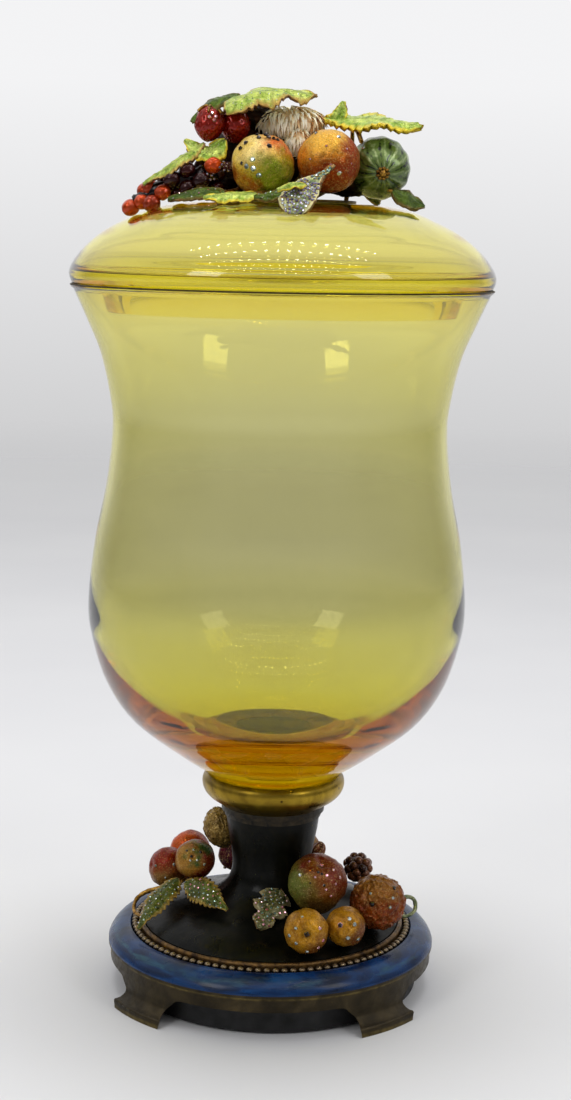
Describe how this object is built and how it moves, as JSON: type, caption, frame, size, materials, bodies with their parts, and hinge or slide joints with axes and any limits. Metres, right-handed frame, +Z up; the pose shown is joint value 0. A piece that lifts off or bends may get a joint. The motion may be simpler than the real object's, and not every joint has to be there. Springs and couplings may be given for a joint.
{
  "type": "covered glass jar",
  "caption": "Tall amber glass covered jar with a lift-off domed lid topped by a cast fruit-and-leaf cluster, on an enamelled metal pedestal with bracket feet and fruit.",
  "frame": {"origin": "on the floor, at the jar's vertical axis", "axes": "+Z up along the jar's axis; -Y is the front, +X is to the right seen from the front"},
  "size_m": [0.1986, 0.1986, 0.4305],
  "materials": {
    "cast_bronze": "aged cast bronze with worn gilt edges",
    "blue_enamel": "glossy streaked enamel",
    "dark_enamel": "glossy near-black green enamel",
    "gilt_brass": "aged gilt, softly polished",
    "plain_brass": "plain turned brass",
    "black_cover": "matt black cover",
    "adhesive": "cured adhesive",
    "amber_glass": "clear blown amber glass",
    "plain_steel": "plain steel",
    "peach_enamel": "orange-red enamel over metal",
    "apple_enamel": "red, pink and green enamel over metal",
    "ochre_enamel": "yellow-ochre enamel over metal",
    "orange_enamel": "rust-orange speckled enamel over metal",
    "pear_enamel": "yellow-green enamel over metal",
    "gourd_enamel": "striped green enamel over metal",
    "burr_enamel": "cream and brown enamel over metal",
    "plum_enamel": "dark plum enamel over metal",
    "red_enamel": "translucent red enamel over metal",
    "dark_berry_enamel": "dark brown-green enamel over metal",
    "leaf_enamel": "green enamel with gilt edges over metal",
    "antique_gold": "antique gold plate",
    "crystal": "small foil-backed set stones"
  },
  "bodies": {
    "jar": {"base_apple_front": "apple_enamel", "base_apple_right": "apple_enamel", "base_bramble": "dark_berry_enamel", "base_bud": "dark_berry_enamel", "base_cover": "black_cover", "base_crystals": "crystal", "base_ivy_leaf": "leaf_enamel", "base_kumquat_left": "ochre_enamel", "base_kumquat_right": "ochre_enamel", "base_leaf_back": "leaf_enamel", "base_leaf_long": "leaf_enamel", "base_leaf_short": "leaf_enamel", "base_lemon": "ochre_enamel", "base_orange_right": "orange_enamel", "base_peach_back": "peach_enamel", "base_peach_left": "peach_enamel", "base_pear_back": "pear_enamel", "base_plum_back": "plum_enamel", "base_red_berry": "red_enamel", "base_tendril": "leaf_enamel", "base_twigs": "antique_gold", "bead_border": "cast_bronze", "bowl": "amber_glass", "clamp_plate": "plain_steel", "collar": "gilt_brass", "enamel_band": "blue_enamel", "hex_nut": "plain_steel", "neck_ring": "cast_bronze", "pedestal": "dark_enamel", "plinth": "cast_bronze", "reed_ring": "cast_bronze", "seat_pad": "adhesive", "seat_plate": "plain_brass", "tie_rod": "plain_steel", "washer": "plain_steel"},
    "lid": {"bonding_pad": "adhesive", "cluster_plate": "plain_brass", "gourd_blossom": "antique_gold", "lid_burr": "burr_enamel", "lid_crystals": "crystal", "lid_glass": "amber_glass", "lid_gourd": "gourd_enamel", "lid_grapes": "red_enamel", "lid_leaf_back": "leaf_enamel", "lid_leaf_back_left": "leaf_enamel", "lid_leaf_back_right": "leaf_enamel", "lid_leaf_crystal": "leaf_enamel", "lid_leaf_front_left": "leaf_enamel", "lid_leaf_long": "leaf_enamel", "lid_leaf_mid_left": "leaf_enamel", "lid_leaf_right": "leaf_enamel", "lid_leaf_small_right": "leaf_enamel", "lid_leaf_top_left": "leaf_enamel", "lid_orange": "orange_enamel", "lid_pear": "pear_enamel", "lid_plum": "plum_enamel", "lid_quince": "ochre_enamel", "lid_stems": "antique_gold", "lid_strawberry_left": "red_enamel", "lid_strawberry_right": "red_enamel"}
  },
  "joints": [
    {"name": "lid_lift", "type": "slide", "parent": "jar", "child": "lid", "axis": [0, 0, 1], "range_m": [0, 0.2]}
  ]
}
